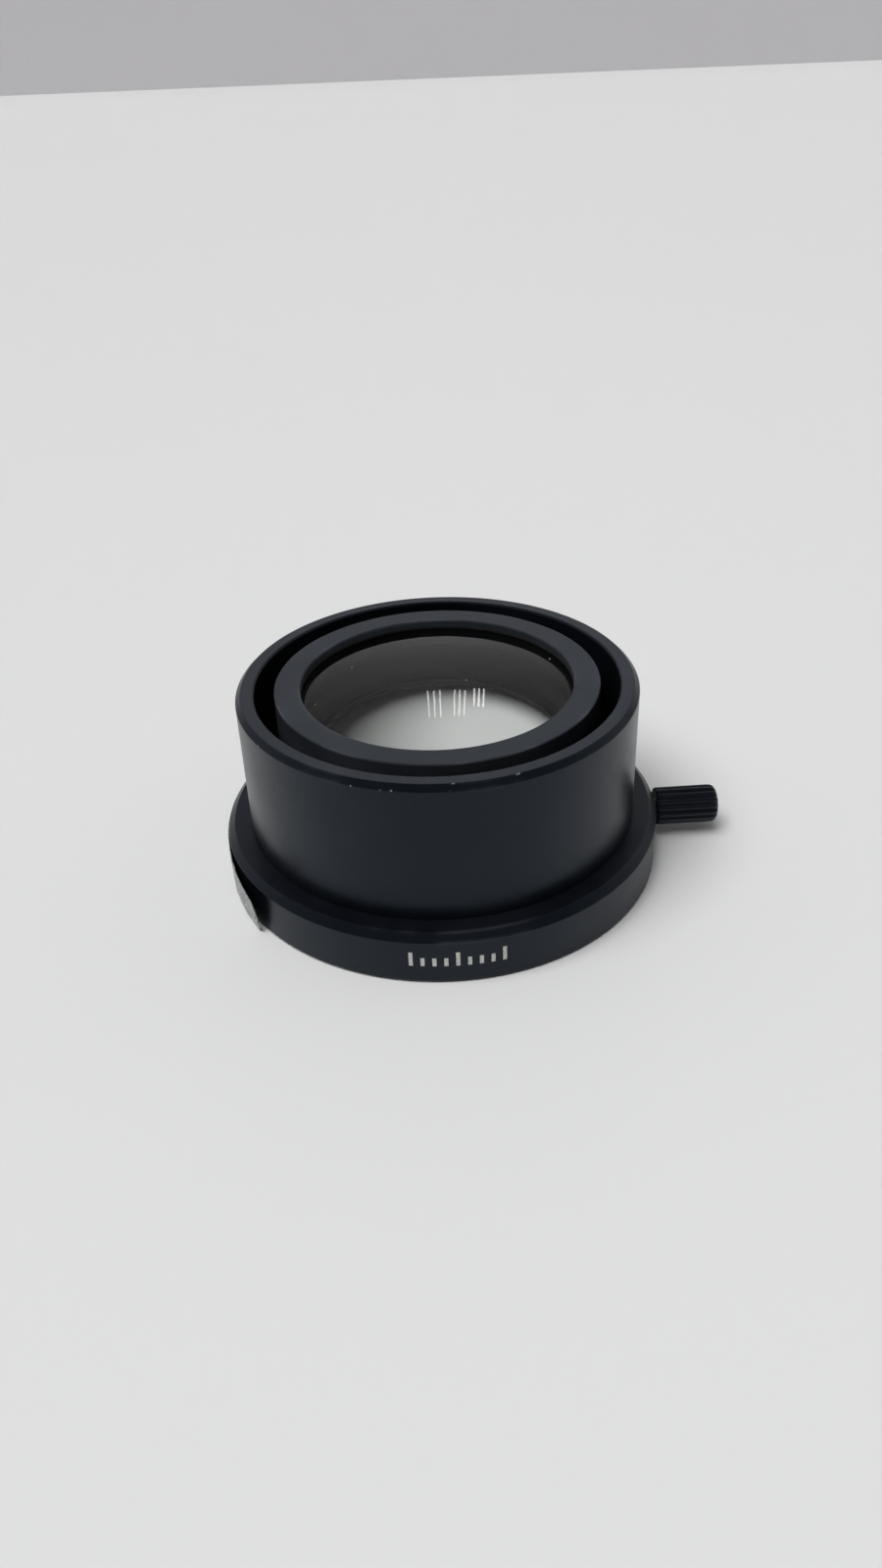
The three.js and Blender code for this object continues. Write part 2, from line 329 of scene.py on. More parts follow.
ALONG_CLAMP = Matrix.Translation((0, 0, CLAMP_Z * MM)) @ Matrix.Rotation(math.pi / 2, 4, "Y")


def clamp_piece(name, points, material, replaced, body, ring=False, shape=None):
    """A piece turned about the clamp screw's axis: an outline's height is its distance along +X."""
    mesh = revolve(points, CLAMP_SEGMENTS, ring, shape)
    mesh.transform(ALONG_CLAMP)
    return placed_piece(name, mesh, material, replaced, body)


# ---- material helpers ----
class Nodes:
    """A material's node tree, with short calls for what the finishes share."""

    def __init__(self, name, on_clamp_axis=False):
        self.material = bpy.data.materials.new(name)
        self.material.use_nodes = True
        self.tree = self.material.node_tree
        self.shader = self.tree.nodes["Principled BSDF"]
        self.place = self.add("ShaderNodeTexCoord").outputs["Object"]
        self.on_clamp_axis = on_clamp_axis
        self._polar = None

    def add(self, kind, **settings):
        made = self.tree.nodes.new(kind)
        for key, value in settings.items():
            setattr(made, key, value)
        return made

    def link(self, source, target):
        """Feeds an input from another node's output, or sets it where the source is a number."""
        if isinstance(source, (int, float)):
            target.default_value = source
        else:
            self.tree.links.new(source, target)

    def math(self, operation, a, b=0.0, clamp=False):
        made = self.add("ShaderNodeMath", operation=operation, use_clamp=clamp)
        self.link(a, made.inputs[0])
        self.link(b, made.inputs[1])
        return made.outputs[0]

    def times(self, a, b):
        return self.math("MULTIPLY", a, b)

    def plus(self, a, b):
        return self.math("ADD", a, b)

    def ramp(self, value, low, high, to_low=0.0, to_high=1.0):
        """Runs smoothly from to_low at low to to_high at high."""
        made = self.add("ShaderNodeMapRange", interpolation_type="SMOOTHSTEP")
        self.link(value, made.inputs["Value"])
        made.inputs["From Min"].default_value = low
        made.inputs["From Max"].default_value = high
        made.inputs["To Min"].default_value = to_low
        made.inputs["To Max"].default_value = to_high
        return made.outputs["Result"]

    def noise(self, vector, scale, detail=3.0, roughness=0.55):
        made = self.add("ShaderNodeTexNoise")
        self.link(vector, made.inputs["Vector"])
        made.inputs["Scale"].default_value = scale
        made.inputs["Detail"].default_value = detail
        made.inputs["Roughness"].default_value = roughness
        return made.outputs["Fac"]

    def combine(self, x, y, z):
        made = self.add("ShaderNodeCombineXYZ")
        for value, socket in zip((x, y, z), made.inputs):
            self.link(value, socket)
        return made.outputs[0]

    def polar(self):
        """Radius and distance along the turning axis in millimetres, and the angle in radians."""
        if self._polar is None:
            split = self.add("ShaderNodeSeparateXYZ")
            self.link(self.place, split.inputs[0])
            x, y, z = split.outputs
            if self.on_clamp_axis:
                x, y, z = y, self.math("SUBTRACT", z, CLAMP_Z * MM), x
            square = self.plus(self.times(x, x), self.times(y, y))
            radius = self.times(self.math("SQRT", square), 1 / MM)
            self._polar = radius, self.math("ARCTAN2", y, x), self.times(z, 1 / MM)
        return self._polar

    def mix(self, factor, low, high):
        made = self.add("ShaderNodeMix", data_type="RGBA")
        self.link(factor, made.inputs["Factor"])
        for value, socket in ((low, made.inputs["A"]), (high, made.inputs["B"])):
            if isinstance(value, tuple):
                socket.default_value = (*value, 1)
            else:
                self.link(value, socket)
        return made.outputs["Result"]

    def set_color(self, color):
        self.link(color, self.shader.inputs["Base Color"])

    def set_roughness(self, value):
        self.link(value, self.shader.inputs["Roughness"])

    def bump(self, height, strength, distance_mm):
        made = self.add("ShaderNodeBump")
        made.inputs["Strength"].default_value = strength
        made.inputs["Distance"].default_value = distance_mm * MM
        self.link(height, made.inputs["Height"])
        self.link(made.outputs["Normal"], self.shader.inputs["Normal"])


def turning_marks(nodes, scale):
    """Noise drawn out round the turning axis, like a lathe tool's marks. Its scale is per millimetre."""
    radius, angle, height = nodes.polar()
    around = nodes.math("SINE", angle)
    wide = nodes.plus(radius, nodes.math("COSINE", angle))
    return nodes.noise(nodes.combine(wide, around, height), scale, detail=2.0)


def hairlines(nodes):
    """Thin broken scratches that run round the turning axis.

    across_scale is per millimetre and along_scale per radian.
    """
    across_scale, along_scale, patch_scale = 7.0, 2.4, 70.0
    radius, angle, height = nodes.polar()
    drawn_out = nodes.combine(
        nodes.times(radius, across_scale),
        nodes.times(angle, along_scale),
        nodes.times(height, across_scale),
    )
    lines = nodes.noise(drawn_out, 1.0, detail=1.0)
    patches = nodes.noise(nodes.place, patch_scale, detail=2.0)
    return nodes.times(nodes.ramp(lines, 0.74, 0.78), nodes.ramp(patches, 0.52, 0.62))


def edge_mask(nodes, edges, width):
    """1 on the listed (r, z) corners, falling to 0 at width millimetres from them."""
    radius, _, height = nodes.polar()
    total = None
    for r, z in edges:
        away_r = nodes.math("SUBTRACT", radius, r)
        away_z = nodes.math("SUBTRACT", height, z)
        square = nodes.plus(nodes.times(away_r, away_r), nodes.times(away_z, away_z))
        near = nodes.ramp(nodes.math("SQRT", square), 0, width, 1, 0)
        total = near if total is None else nodes.math("MAXIMUM", total, near)
    return total


def worn_side(nodes, degrees):
    """Extra wear towards the given side of the turning axis, falling to none on the far side."""
    extra_wear = 0.055
    _, angle, _ = nodes.polar()
    facing = nodes.math("COSINE", nodes.math("SUBTRACT", angle, math.radians(degrees)))
    return nodes.ramp(facing, -0.3, 0.9, 0.0, extra_wear)


METAL_CHIP = (0.58, 0.59, 0.6)
OXIDE_SHEEN = (0.62, 0.78, 1.0, 1)
OXIDE_REFLECTION = 0.34
CHIP_WIDTH = 0.28
RUB_WIDTH = 0.5
CHIP_SOFTNESS = 0.05
WORN_TOWARDS = 250


def anodised(name, color, roughness, edges, wear, on_clamp_axis=False):
    """Black anodised aluminium: lathe marks, hairline scratches and metal showing at worn corners.

    wear is the noise level at which metal shows on an edge, so a lower one gives more chips.
    """
    mark_scale, cloud_scale, grit_scale, spot_scale = 9.0, 90.0, 420.0, 900.0
    nodes = Nodes(name, on_clamp_axis)
    shader = nodes.shader
    shader.inputs["Specular Tint"].default_value = OXIDE_SHEEN
    shader.inputs["Specular IOR Level"].default_value = OXIDE_REFLECTION
    marks = turning_marks(nodes, mark_scale)
    cloud = nodes.noise(nodes.place, cloud_scale, detail=4.0)
    spots = nodes.noise(nodes.place, spot_scale, detail=2.0)
    grit = nodes.noise(nodes.place, grit_scale, detail=5.0, roughness=0.7)
    scuffs = nodes.plus(grit, worn_side(nodes, WORN_TOWARDS))
    chipped = nodes.ramp(scuffs, wear, wear + CHIP_SOFTNESS)
    bare = nodes.math("MULTIPLY", edge_mask(nodes, edges, CHIP_WIDTH), chipped, True)
    rubbed = nodes.times(edge_mask(nodes, edges, RUB_WIDTH), nodes.ramp(cloud, 0.45, 0.7))
    scratched = nodes.times(hairlines(nodes), 0.5)
    lifted = tuple(c * 1.9 + 0.004 for c in color)
    faded = nodes.mix(nodes.ramp(cloud, 0.35, 0.75, 0, 0.4), color, lifted)
    rubbed_color = tuple(c * 3 + 0.02 for c in color)
    worn = nodes.mix(nodes.math("MAXIMUM", nodes.times(rubbed, 0.6), scratched), faded, rubbed_color)
    nodes.set_color(nodes.mix(bare, worn, METAL_CHIP))
    nodes.link(bare, shader.inputs["Metallic"])
    dull = nodes.plus(nodes.ramp(cloud, 0.3, 0.7, -0.035, 0.045), roughness)
    nodes.set_roughness(nodes.plus(dull, nodes.ramp(marks, 0.3, 0.7, -0.02, 0.03)))
    grain = nodes.plus(nodes.times(marks, 0.6), nodes.times(spots, 0.4))
    nodes.bump(nodes.math("SUBTRACT", grain, nodes.times(bare, 0.8)), 0.35, 0.012)
    return nodes.material


def matt_black(name):
    """Dull anti-reflection black with fine thread-like ridges."""
    ridge_scale, cloud_scale = 6.0, 160.0
    deep, dusty = (0.002, 0.0018, 0.0018), (0.004, 0.0036, 0.0036)
    nodes = Nodes(name)
    ridges = turning_marks(nodes, ridge_scale)
    cloud = nodes.noise(nodes.place, cloud_scale, detail=3.0)
    nodes.set_color(nodes.mix(cloud, deep, dusty))
    nodes.shader.inputs["Specular IOR Level"].default_value = 0.06
    nodes.set_roughness(nodes.ramp(ridges, 0.3, 0.7, 0.6, 0.75))
    nodes.bump(ridges, 0.08, 0.01)
    return nodes.material


def machined(name, color, roughness, on_clamp_axis=False):
    """Bare turned metal with tool marks and a faint tarnish."""
    mark_scale, grain_scale, tarnish_scale = 14.0, 1500.0, 260.0
    tarnished_share = 0.62
    nodes = Nodes(name, on_clamp_axis)
    marks = turning_marks(nodes, mark_scale)
    grain = nodes.noise(nodes.place, grain_scale, detail=3.0)
    tarnish = nodes.noise(nodes.place, tarnish_scale, detail=4.0)
    dark = tuple(c * tarnished_share for c in color)
    nodes.set_color(nodes.mix(nodes.ramp(tarnish, 0.3, 0.75), color, dark))
    nodes.shader.inputs["Metallic"].default_value = 1
    nodes.set_roughness(nodes.ramp(tarnish, 0.3, 0.7, roughness, roughness + 0.15))
    nodes.bump(nodes.plus(nodes.times(marks, 0.7), nodes.times(grain, 0.3)), 0.3, 0.01)
    return nodes.material


def nylon(name):
    """Natural nylon, with the clouding and the dents that a clamped face gets."""
    cloud_scale, dent_scale = 700.0, 2600.0
    yellowed, clean = (0.68, 0.65, 0.56), (0.8, 0.78, 0.71)
    nodes = Nodes(name)
    cloud = nodes.noise(nodes.place, cloud_scale, detail=3.0)
    dents = nodes.noise(nodes.place, dent_scale, detail=2.0)
    nodes.set_color(nodes.mix(cloud, yellowed, clean))
    nodes.set_roughness(nodes.ramp(cloud, 0.3, 0.7, 0.45, 0.62))
    nodes.shader.inputs["Subsurface Weight"].default_value = 0.15
    nodes.shader.inputs["Subsurface Scale"].default_value = 0.6 * MM
    nodes.bump(dents, 0.3, 0.02)
    return nodes.material


def rubber(name):
    """Matt black rubber with a fine grain."""
    grain_scale = 3000.0
    deep, worn = (0.008, 0.008, 0.008), (0.022, 0.022, 0.022)
    nodes = Nodes(name)
    grain = nodes.noise(nodes.place, grain_scale, detail=2.0)
    nodes.set_color(nodes.mix(grain, deep, worn))
    nodes.set_roughness(nodes.ramp(grain, 0.3, 0.7, 0.7, 0.9))
    nodes.bump(grain, 0.4, 0.02)
    return nodes.material


def dust_specks(nodes):
    """A few tiny specks: small dots at the middles of some widely spaced cells."""
    cell_scale = 190.0
    cells = nodes.add("ShaderNodeTexVoronoi")
    nodes.link(nodes.place, cells.inputs["Vector"])
    cells.inputs["Scale"].default_value = cell_scale
    dots = nodes.ramp(cells.outputs["Distance"], 0.018, 0.03, 1, 0)
    split = nodes.add("ShaderNodeSeparateColor")
    nodes.link(cells.outputs["Color"], split.inputs[0])
    return nodes.times(dots, nodes.ramp(split.outputs[0], 0.3, 0.32))


GLASS_TINT = (0.97, 0.985, 0.975, 1)
GLASS_SHADOW = (0.97, 0.98, 0.97, 1)
DUST_COLOR = (0.75, 0.75, 0.72, 1)
COATING_GREEN = 0.9
COATING_BLUE = 0.86


def coated_glass(name, reflection, roughness, index):
    """Polished, coated glass with a little dust: the coating leaves a share of the bare reflection.

    The share is a little lower in green and blue. Shadow rays pass straight through, so the lamps
    light what is under the glass.
    """
    smear_scale, smeared_share = 60.0, 1.4
    nodes = Nodes(name)
    shader = nodes.shader
    shader.inputs["Base Color"].default_value = GLASS_TINT
    shader.inputs["Transmission Weight"].default_value = 1
    shader.inputs["IOR"].default_value = index
    coating = (reflection, COATING_GREEN * reflection, COATING_BLUE * reflection, 1)
    shader.inputs["Specular Tint"].default_value = coating
    smears = nodes.noise(nodes.place, smear_scale, detail=2.0, roughness=0.5)
    nodes.set_roughness(nodes.ramp(smears, 0.35, 0.8, roughness, smeared_share * roughness))
    dust = nodes.add("ShaderNodeBsdfDiffuse")
    dust.inputs["Color"].default_value = DUST_COLOR
    dusty = nodes.add("ShaderNodeMixShader")
    nodes.link(dust_specks(nodes), dusty.inputs[0])
    nodes.link(shader.outputs[0], dusty.inputs[1])
    nodes.link(dust.outputs[0], dusty.inputs[2])
    clear = nodes.add("ShaderNodeBsdfTransparent")
    clear.inputs["Color"].default_value = GLASS_SHADOW
    through = nodes.add("ShaderNodeMixShader")
    nodes.link(nodes.add("ShaderNodeLightPath").outputs["Is Shadow Ray"], through.inputs[0])
    nodes.link(dusty.outputs[0], through.inputs[1])
    nodes.link(clear.outputs[0], through.inputs[2])
    nodes.link(through.outputs[0], nodes.tree.nodes["Material Output"].inputs["Surface"])
    return nodes.material


def edge_ink(name):
    """The dead black ink on a lens element's ground edge."""
    grain_scale = 1200.0
    thick, thin = (0.001, 0.001, 0.001), (0.003, 0.003, 0.003)
    nodes = Nodes(name)
    grain = nodes.noise(nodes.place, grain_scale, detail=2.0)
    nodes.set_color(nodes.mix(grain, thick, thin))
    nodes.set_roughness(nodes.ramp(grain, 0.3, 0.7, 0.85, 0.95))
    nodes.shader.inputs["Specular IOR Level"].default_value = 0.0
    return nodes.material


def foil(name):
    """Silver foil printed with nothing but a fine chevron hatch, and rubbed in places."""
    chevron_height, slant, line_pitch = 1.6, 0.8, 1.1
    rub_scale = 500.0
    silver, printed = (0.33, 0.345, 0.335), (0.07, 0.076, 0.076)
    nodes = Nodes(name)
    _, angle, height = nodes.polar()
    across = nodes.times(angle, FLANGE_R)
    chevron = nodes.math("PINGPONG", height, chevron_height)
    slanted = nodes.plus(across, nodes.times(chevron, slant))
    wave = nodes.math("SINE", nodes.times(slanted, 2 * math.pi / line_pitch))
    rub = nodes.noise(nodes.place, rub_scale, detail=4.0)
    ink = nodes.math("MULTIPLY", nodes.ramp(wave, 0.2, 0.7), nodes.ramp(rub, 0.35, 0.6), True)
    nodes.set_color(nodes.mix(ink, silver, printed))
    nodes.shader.inputs["Metallic"].default_value = 0.35
    nodes.set_roughness(nodes.ramp(rub, 0.3, 0.7, 0.32, 0.48))
    nodes.bump(rub, 0.25, 0.03)
    return nodes.material


def paint(name, color):
    """Filling paint, slightly chalky and soiled."""
    chalk_scale, soiled_share = 2500.0, 0.72
    nodes = Nodes(name)
    chalk = nodes.noise(nodes.place, chalk_scale, detail=3.0)
    dark = tuple(c * soiled_share for c in color)
    nodes.set_color(nodes.mix(nodes.ramp(chalk, 0.4, 0.75), color, dark))
    nodes.set_roughness(nodes.ramp(chalk, 0.3, 0.7, 0.5, 0.7))
    nodes.bump(chalk, 0.3, 0.01)
    return nodes.material


# ---- finishes ----
FLANGE_EDGES = [(FLANGE_R, FLANGE_H - FLANGE_CHAMFER), (FLANGE_R - FLANGE_CHAMFER, FLANGE_H)]
BARREL_EDGES = [(BARREL_R, BARREL_TOP - BARREL_CHAMFER), (BARREL_R - BARREL_CHAMFER, BARREL_TOP)]
CELL_EDGES = [(CELL_R, CELL_TOP), (CELL_LIP_R + CELL_LIP_FLARE, CELL_TOP)]
KNOB_WORN_R = KNOB_R - 0.5
KNOB_WORN_X = KNOB_HIGH.x - 0.4
KNOB_EDGES = [(KNOB_R, KNOB_LOW.x), (KNOB_WORN_R, KNOB_WORN_X)]
BODY_BLACK = (0.003, 0.0038, 0.0058)
CELL_BLACK = (0.019, 0.0215, 0.026)
KNOB_BLACK = (0.004, 0.0046, 0.006)

FLANGE_FINISH = anodised("flange_anodised", BODY_BLACK, 0.36, FLANGE_EDGES, 0.76)
BARREL_FINISH = anodised("barrel_anodised", BODY_BLACK, 0.32, BARREL_EDGES, 0.675)
# The cell's own grey-black finish, also put on the barrel's top face as painted light.
CELL_AND_PAINTED_TOP_FINISH = anodised("cell_anodised", CELL_BLACK, 0.42, CELL_EDGES, 0.76)
KNOB_FINISH = anodised("knob_anodised", KNOB_BLACK, 0.33, KNOB_EDGES, 0.7, on_clamp_axis=True)
INNER_BLACK = matt_black("inner_matt_black")
STEEL = machined("machined_steel", (0.52, 0.53, 0.55), 0.3)
STUD_STEEL = machined("stud_steel", (0.5, 0.51, 0.53), 0.32, on_clamp_axis=True)
BRASS = machined("machined_brass", (0.6, 0.43, 0.19), 0.28, on_clamp_axis=True)
NYLON = nylon("natural_nylon")
RUBBER = rubber("gasket_rubber")
# The rear face bends light less than the glass would, so that its deep hollow stays clear and dark.
GLASS = coated_glass("coated_glass", 0.4, 0.012, 1.55)
REAR_GLASS = coated_glass("coated_rear_glass", 0.02, 0.03, 1.26)
EDGE_INK = edge_ink("lens_edge_ink")
FOIL = foil("hatched_foil")
WHITE_PAINT = paint("white_filling", (0.62, 0.62, 0.58))


# ---- housing ----
def screw_places():
    """Where each flange screw stands: midway between the clamp axis and the Y axis."""
    places = []
    for i in range(4):
        angle = math.radians(45 + 90 * i)
        places.append(Matrix.Translation(round_z(SCREW_CIRCLE_R, angle, 0)))
    return places


def screw_holes(top):
    """Cutters for the countersunk holes that the flange screws go up through."""
    head_r = SCREW_HEAD_R + FIT
    shank_r = SCREW_SHANK_R + FIT
    bottom = SOCKET_DEPTH - CUT_MARGIN
    outline = [
        Vector((0, bottom)),
        Vector((head_r, bottom)),
        Vector((head_r, SOCKET_DEPTH + FIT)),
        Vector((shank_r, SOCKET_DEPTH + SCREW_HEAD_H)),
        Vector((shank_r, top)),
        Vector((0, top)),
    ]
    cutters = []
    for place in screw_places():
        cutter = revolve(outline, SCREW_SEGMENTS, ring=False)
        cutter.transform(place)
        cutters.append(cutter)
    return cutters


def clamp_holes():
    """Cutters for the pad's pocket, the stud's hole and the bush's hole, from the socket outwards."""
    inside = SOCKET_R - CUT_MARGIN
    outside = FLANGE_R + CUT_MARGIN
    cutters = [
        plain_cutter(PAD_POCKET_R, inside, PAD_POCKET_END_X, SCREW_SEGMENTS),
        plain_cutter(THREAD_BORE_R, inside, outside, SCREW_SEGMENTS),
        plain_cutter(BUSH_R + FIT, BUSH_LOW.x, outside, SCREW_SEGMENTS),
    ]
    for cutter in cutters:
        cutter.transform(ALONG_CLAMP)
    return cutters


def make_flange():
    """The flange with its foot, chamfer, clamp socket and light port, and the holes through it."""
    corners = [
        (FLANGE_SIDE_R - FOOT_CHAMFER, 0, 0.12),
        (FLANGE_SIDE_R, FOOT_CHAMFER, 0.12),
        (FLANGE_SIDE_R, FLANGE_H - FLANGE_CHAMFER, 0.1),
        (FLANGE_R - FLANGE_CHAMFER, FLANGE_H, 0.1),
        (PORT_R, FLANGE_H, 0.1),
        (PORT_R, SOCKET_DEPTH, 0.1),
        (SOCKET_R, SOCKET_DEPTH, 0),
        (SOCKET_R, SOCKET_MOUTH, 0.1),
        (SOCKET_R + SOCKET_MOUTH, 0, 0.1),
    ]
    holes = [*clamp_holes(), *screw_holes(FLANGE_H + CUT_MARGIN)]
    turned_piece("base_flange_fine", corners, FLANGE_FINISH, ["base_flange"], holes)


def make_barrel():
    """The barrel with its inner web; its plain top face is painted lighter with the cell's material, as
    painted light on the face that looks up.
    """
    corners = [
        (BARREL_R, FLANGE_H, 0.12),
        (BARREL_R, BARREL_TOP - BARREL_CHAMFER, 0.12),
        (BARREL_R - BARREL_CHAMFER, BARREL_TOP, 0.12),
        (BARREL_BORE_R + BARREL_INNER_CHAMFER, BARREL_TOP, 0.08),
        (BARREL_BORE_R, BARREL_TOP - BARREL_INNER_CHAMFER, 0.08),
        (BARREL_BORE_R, WEB_TOP, 0.3),
        (WEB_BORE_R, WEB_TOP, 0.1),
        (WEB_BORE_R, FLANGE_H, 0.1),
    ]
    piece = turned_piece("outer_barrel_fine", corners, BARREL_FINISH, ["outer_barrel"],
                         screw_holes(SCREW_HIGH.z + FIT))
    # The top face is painted lighter than the barrel's sides: painted light where the face looks up.
    top_radii = (BARREL_BORE_R, BARREL_R - BARREL_CHAMFER)
    recolour_faces(piece, CELL_AND_PAINTED_TOP_FINISH, top_radii, (BARREL_TOP - FACE_REACH, BARREL_TOP + FACE_REACH))


def make_cell():
    """The ring round the glass, with its front lip, its spigot and a blackened bore."""
    corners = [
        (CELL_SPIGOT_R, CELL_FOOT, 0.1),
        (CELL_SPIGOT_R, CELL_SHOULDER, 0),
        (CELL_R, CELL_SHOULDER, 0.1),
        (CELL_R, CELL_TOP, 0.3),
        (CELL_LIP_R + CELL_LIP_FLARE, CELL_TOP, 0.06),
        (CELL_LIP_R, CELL_TOP - CELL_LIP_FLARE, 0.06),
        (CELL_LIP_R, CELL_LIP_Z, 0),
        (CELL_BORE_R, CELL_LIP_Z, 0),
        (CELL_BORE_R, CELL_FOOT, 0.1),
    ]
    piece = turned_piece("lens_cell_fine", corners, CELL_AND_PAINTED_TOP_FINISH, ["lens_cell"])
    bore_heights = (CELL_FOOT - FACE_REACH, CELL_LIP_Z + FACE_REACH)
    recolour_faces(piece, INNER_BLACK, (0, CELL_BORE_R + FACE_REACH), bore_heights)


def make_screws():
    """Slotted countersunk screws, each with its slot where the screwdriver left it."""
    first_turn, turn_step = 35, 50
    head = SCREW_LOW.z
    corners = [
        (SCREW_HEAD_R, head, 0.05),
        (SCREW_SHANK_R, head + SCREW_HEAD_H, 0.05),
        (SCREW_SHANK_R, SCREW_HIGH.z, 0.15),
    ]
    for i, place in enumerate(screw_places()):
        slot = box_cutter(2 * (SCREW_HEAD_R + CUT_MARGIN), SCREW_SLOT_W, 2 * SCREW_SLOT_DEPTH, head)
        screw = carved(revolve(softened_solid(corners), SCREW_SEGMENTS, ring=False), [slot])
        screw.transform(place @ Matrix.Rotation(math.radians(first_turn + turn_step * i), 4, "Z"))
        node = f"flange_screw_{i + 1}"
        placed_piece(f"{node}_fine", screw, STEEL, [node], "housing")


def label_radius(degrees, share):
    """The label's inner radius: its free end peels away, and more at its top than at its foot."""
    foot_share, top_gain, curl = 0.45, 0.65, 1.7
    ripple_height, ripple_fade = 0.04, 4
    peel = max(0, (degrees - LABEL_LIFT_FROM) / (LABEL_TO - LABEL_LIFT_FROM))
    ripple = ripple_height * math.sin(degrees * 0.9) * math.sin(share * 5 + degrees * 0.2)
    lift = LABEL_LIFT * peel**curl * (foot_share + top_gain * share)
    return LABEL_R + lift + ripple * min(1, ripple_fade * peel)


def make_label():
    """A thin foil strip bent round the flange, with rounded corners at its free end."""
    around, tall = 120, 16
    corner, corner_degrees = 0.09, 1.2
    mesh = bmesh.new()
    layers = []
    for offset in (0, LABEL_T):
        grid = []
        for j in range(tall + 1):
            share = j / tall
            near_corner = max(0, (abs(2 * share - 1) - (1 - 2 * corner)) / (2 * corner))
            last = LABEL_TO - corner_degrees * (1 - math.sqrt(1 - near_corner**2))
            height = LABEL_LOW.z + (LABEL_HIGH.z - LABEL_LOW.z) * share
            row = []
            for i in range(around + 1):
                degrees = LABEL_FROM + (last - LABEL_FROM) * i / around
                radius = label_radius(degrees, share) + offset
                row.append(mesh.verts.new(round_z(radius, math.radians(degrees), height)))
            grid.append(row)
        layers.append(grid)
    inner, outer = layers
    for j in range(tall):
        for i in range(around):
            mesh.faces.new([outer[j][i], outer[j][i + 1], outer[j + 1][i + 1], outer[j + 1][i]])
            mesh.faces.new([inner[j][i], inner[j + 1][i], inner[j + 1][i + 1], inner[j][i + 1]])
    for i in range(around):
        mesh.faces.new([inner[0][i], inner[0][i + 1], outer[0][i + 1], outer[0][i]])
        mesh.faces.new([outer[tall][i], outer[tall][i + 1], inner[tall][i + 1], inner[tall][i]])
    for j in range(tall):
        mesh.faces.new([outer[j][0], outer[j + 1][0], inner[j + 1][0], inner[j][0]])
        mesh.faces.new([inner[j][around], inner[j + 1][around], outer[j + 1][around], outer[j][around]])
    bmesh.ops.recalc_face_normals(mesh, faces=mesh.faces)
    piece = new_object("id_label_fine", finish_mesh(mesh, "id_label_fine"), FOIL, "housing")
    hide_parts("id_label")


def make_index_marks():
    """A row of plain white-filled index strokes on the flange's side, below its chamfer."""
    count, pitch, width = 9, 1.75, 0.6
    long_stroke, short_stroke, long_every = 2.5, 1.5, 4
    foot = 3.35
    depth = 0.12
    middle = math.radians(-89.6)
    half = width / 2 / FLANGE_R
    mesh = bmesh.new()
    for i in range(count):
        head = foot + (long_stroke if i % long_every == 0 else short_stroke)
        at = middle + (i - (count - 1) / 2) * pitch / FLANGE_R
        inner, outer = [], []
        for angle, z in ((at - half, foot), (at + half, foot), (at + half, head), (at - half, head)):
            for corners, r in ((inner, FLANGE_R - depth), (outer, FLANGE_R)):
                corners.append(mesh.verts.new(round_z(r, angle, z)))
        mesh.faces.new(outer)
        mesh.faces.new(inner[::-1])
        for a in range(4):
            b = (a + 1) % 4
            mesh.faces.new([inner[a], inner[b], outer[b], outer[a]])
    bmesh.ops.recalc_face_normals(mesh, faces=mesh.faces)
    new_object("index_marks", finish_mesh(mesh, "index_marks"), WHITE_PAINT, "housing")


# ---- optics ----
def dome(apex, curve, from_r, to_r, steps=100):
    """Points along a spherical face."""
    points = []
    for i in range(steps + 1):
        r = from_r + (to_r - from_r) * i / steps
        points.append(Vector((r, apex - (curve - math.sqrt(curve**2 - r**2)))))
    return points


def make_glass():
    """Both elements as one cemented block, with its ground edge and rear rim inked black."""
    rear_face, inked = 1, 2
    steepest_edge = 0.2
    rear = dome(REAR_APEX, REAR_CURVE, 0, REAR_CLEAR_R)
    front = dome(GLASS_APEX, FRONT_CURVE, GLASS_R, 0)
    mesh = revolve([*rear, Vector((GLASS_R, rear[-1].y)), *front], SEGMENTS, ring=False)
    for face in mesh.faces:
        centre = face.calc_center_median()
        away = math.hypot(centre.x, centre.y) / MM
        on_edge = abs(face.normal.z) < steepest_edge
        on_rim = away > REAR_CLEAR_R and face.normal.z < 0
        if on_edge or on_rim:
            face.material_index = inked
        elif face.normal.z < 0:
            face.material_index = rear_face
    data = finish_mesh(mesh, "cemented_glass", GLASS_SHARP_ANGLE)
    piece = new_object("cemented_glass", data, GLASS, "housing")
    piece.data.materials.append(REAR_GLASS)
    piece.data.materials.append(EDGE_INK)
    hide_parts("crown_element", "flint_element")


def make_inner_rings():
    """The rings that hold the glass in its cell and the cell in the barrel."""
    retainer_low = node_mm("rear_retaining_ring")[0].z
    across = 2 * (GLASS_R + CUT_MARGIN)
    spanner_slot = box_cutter(across, SPANNER_SLOT_W, 2 * SPANNER_SLOT_DEPTH, retainer_low)
    plain_ring("front_gasket", CELL_LIP_R, RUBBER, 0.06)
    plain_ring("spacer_ring", RING_BORE_R, INNER_BLACK, 0.12)
    plain_ring("rear_retaining_ring", RING_BORE_R, INNER_BLACK, 0.12, [spanner_slot])
    plain_ring("cell_shim", WEB_BORE_R, STEEL, 0.03)
    plain_ring("cell_lock_ring", CELL_SPIGOT_R + FIT, INNER_BLACK, 0.12)
    baffle_t = BAFFLE_HIGH.z - BAFFLE_LOW.z
    baffle = [
        (BAFFLE_HIGH.y, BAFFLE_LOW.z, 0.1),
        (BAFFLE_HIGH.y, BAFFLE_HIGH.z, 0.1),
        (BAFFLE_BORE_R, BAFFLE_HIGH.z, 0.05),
        (BAFFLE_BORE_R + baffle_t / 2, BAFFLE_LOW.z, 0.1),
    ]
    turned_piece("light_baffle_fine", baffle, INNER_BLACK, ["light_baffle"])


# ---- clamp ----
KNOB_FLUTES = 16
KNOB_FLUTE_DEPTH = 0.34
KNOB_BEVEL = 0.35
KNOB_ROUND = 1.3
THREAD_PITCH = 0.5
THREAD_DEPTH = 0.27
THREAD_STEPS = 6
FLUTE_SHARPNESS = 2.5


